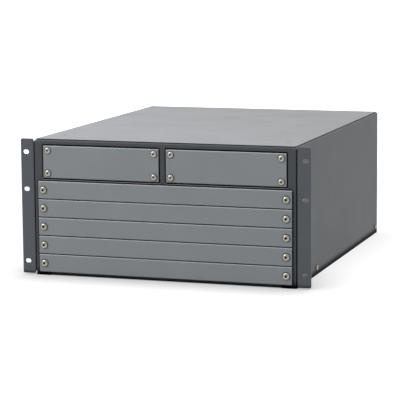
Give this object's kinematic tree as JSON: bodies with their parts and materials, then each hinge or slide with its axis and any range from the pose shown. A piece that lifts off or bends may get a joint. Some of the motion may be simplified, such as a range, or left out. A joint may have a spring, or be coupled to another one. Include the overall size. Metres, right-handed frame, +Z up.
{
  "type": "modular chassis switch",
  "caption": "Rack-mount modular switch chassis with slotted rack ears, screwed blank module covers, a plain lid and rear power inlets with rocker switches.",
  "frame": {"origin": "centre of the flat underside", "axes": "+X to the right seen from the front, +Y from the front to the rear, +Z up"},
  "size_m": [0.4826, 0.5759, 0.2215],
  "materials": {
    "frame_paint": "fine textured satin paint",
    "lid_paint": "fine textured satin paint",
    "pan_paint": "fine textured satin paint",
    "rear_paint": "fine textured satin paint",
    "ear_paint": "fine textured satin paint",
    "cover_paint": "fine textured satin paint",
    "zinc_sheet": "zinc plated sheet",
    "screw_nickel": "nickel plated",
    "screw_dark": "black zinc plated",
    "nut_zinc": "zinc plated",
    "board": "solder mask over glass fibre board",
    "brass": "turned",
    "connector_plastic": "moulded",
    "guide_plastic": "moulded",
    "supply_sheet": "satin",
    "inlet_plastic": "moulded",
    "blade_metal": "nickel plated",
    "bezel_plastic": "moulded",
    "rocker_plastic": "moulded, polished"
  },
  "bodies": {
    "chassis": {"backplane": "board", "backplane_standoffs": "brass", "bay_connectors": "connector_plastic", "bay_nuts": "nut_zinc", "bay_panel_left": "cover_paint", "bay_panel_right": "cover_paint", "bay_partition": "zinc_sheet", "bay_post_center": "frame_paint", "bay_post_left": "frame_paint", "bay_post_right": "frame_paint", "bay_screws": "screw_nickel", "bay_shelf": "zinc_sheet", "bottom_pan": "pan_paint", "bulkhead": "zinc_sheet", "cage_side_left": "zinc_sheet", "cage_side_right": "zinc_sheet", "card_guide_left_1": "guide_plastic", "card_guide_left_2": "guide_plastic", "card_guide_left_3": "guide_plastic", "card_guide_left_4": "guide_plastic", "card_guide_left_5": "guide_plastic", "card_guide_right_1": "guide_plastic", "card_guide_right_2": "guide_plastic", "card_guide_right_3": "guide_plastic", "card_guide_right_4": "guide_plastic", "card_guide_right_5": "guide_plastic", "chassis_shell": "frame_paint", "ear_screws": "screw_nickel", "floor_screws": "screw_dark", "ground_nut": "brass", "ground_stud": "brass", "inlet_pins": "blade_metal", "inlet_screws": "screw_dark", "lid": "lid_paint", "lid_screws": "screw_dark", "power_inlet_left": "inlet_plastic", "power_inlet_right": "inlet_plastic", "power_supply_left": "supply_sheet", "power_supply_right": "supply_sheet", "rack_ear_left": "ear_paint", "rack_ear_right": "ear_paint", "rear_panel": "rear_paint", "rear_panel_screws": "screw_dark", "side_screws": "screw_nickel", "slot_connectors": "connector_plastic", "slot_nuts": "nut_zinc", "slot_panel_1": "cover_paint", "slot_panel_2": "cover_paint", "slot_panel_3": "cover_paint", "slot_panel_4": "cover_paint", "slot_panel_5": "cover_paint", "slot_screws": "screw_nickel", "switch_frame_left": "bezel_plastic", "switch_frame_right": "bezel_plastic", "top_rail": "zinc_sheet"},
    "rocker_left": {"rocker_left": "rocker_plastic"},
    "rocker_right": {"rocker_right": "rocker_plastic"}
  },
  "joints": [
    {"name": "rocker_left_hinge", "type": "hinge", "parent": "chassis", "child": "rocker_left", "pos_m": [-0.1, 0.274, 0.044], "axis": [1, 0, 0], "range_deg": [0, 20]},
    {"name": "rocker_right_hinge", "type": "hinge", "parent": "chassis", "child": "rocker_right", "pos_m": [0.1, 0.274, 0.044], "axis": [1, 0, 0], "range_deg": [0, 20]}
  ]
}
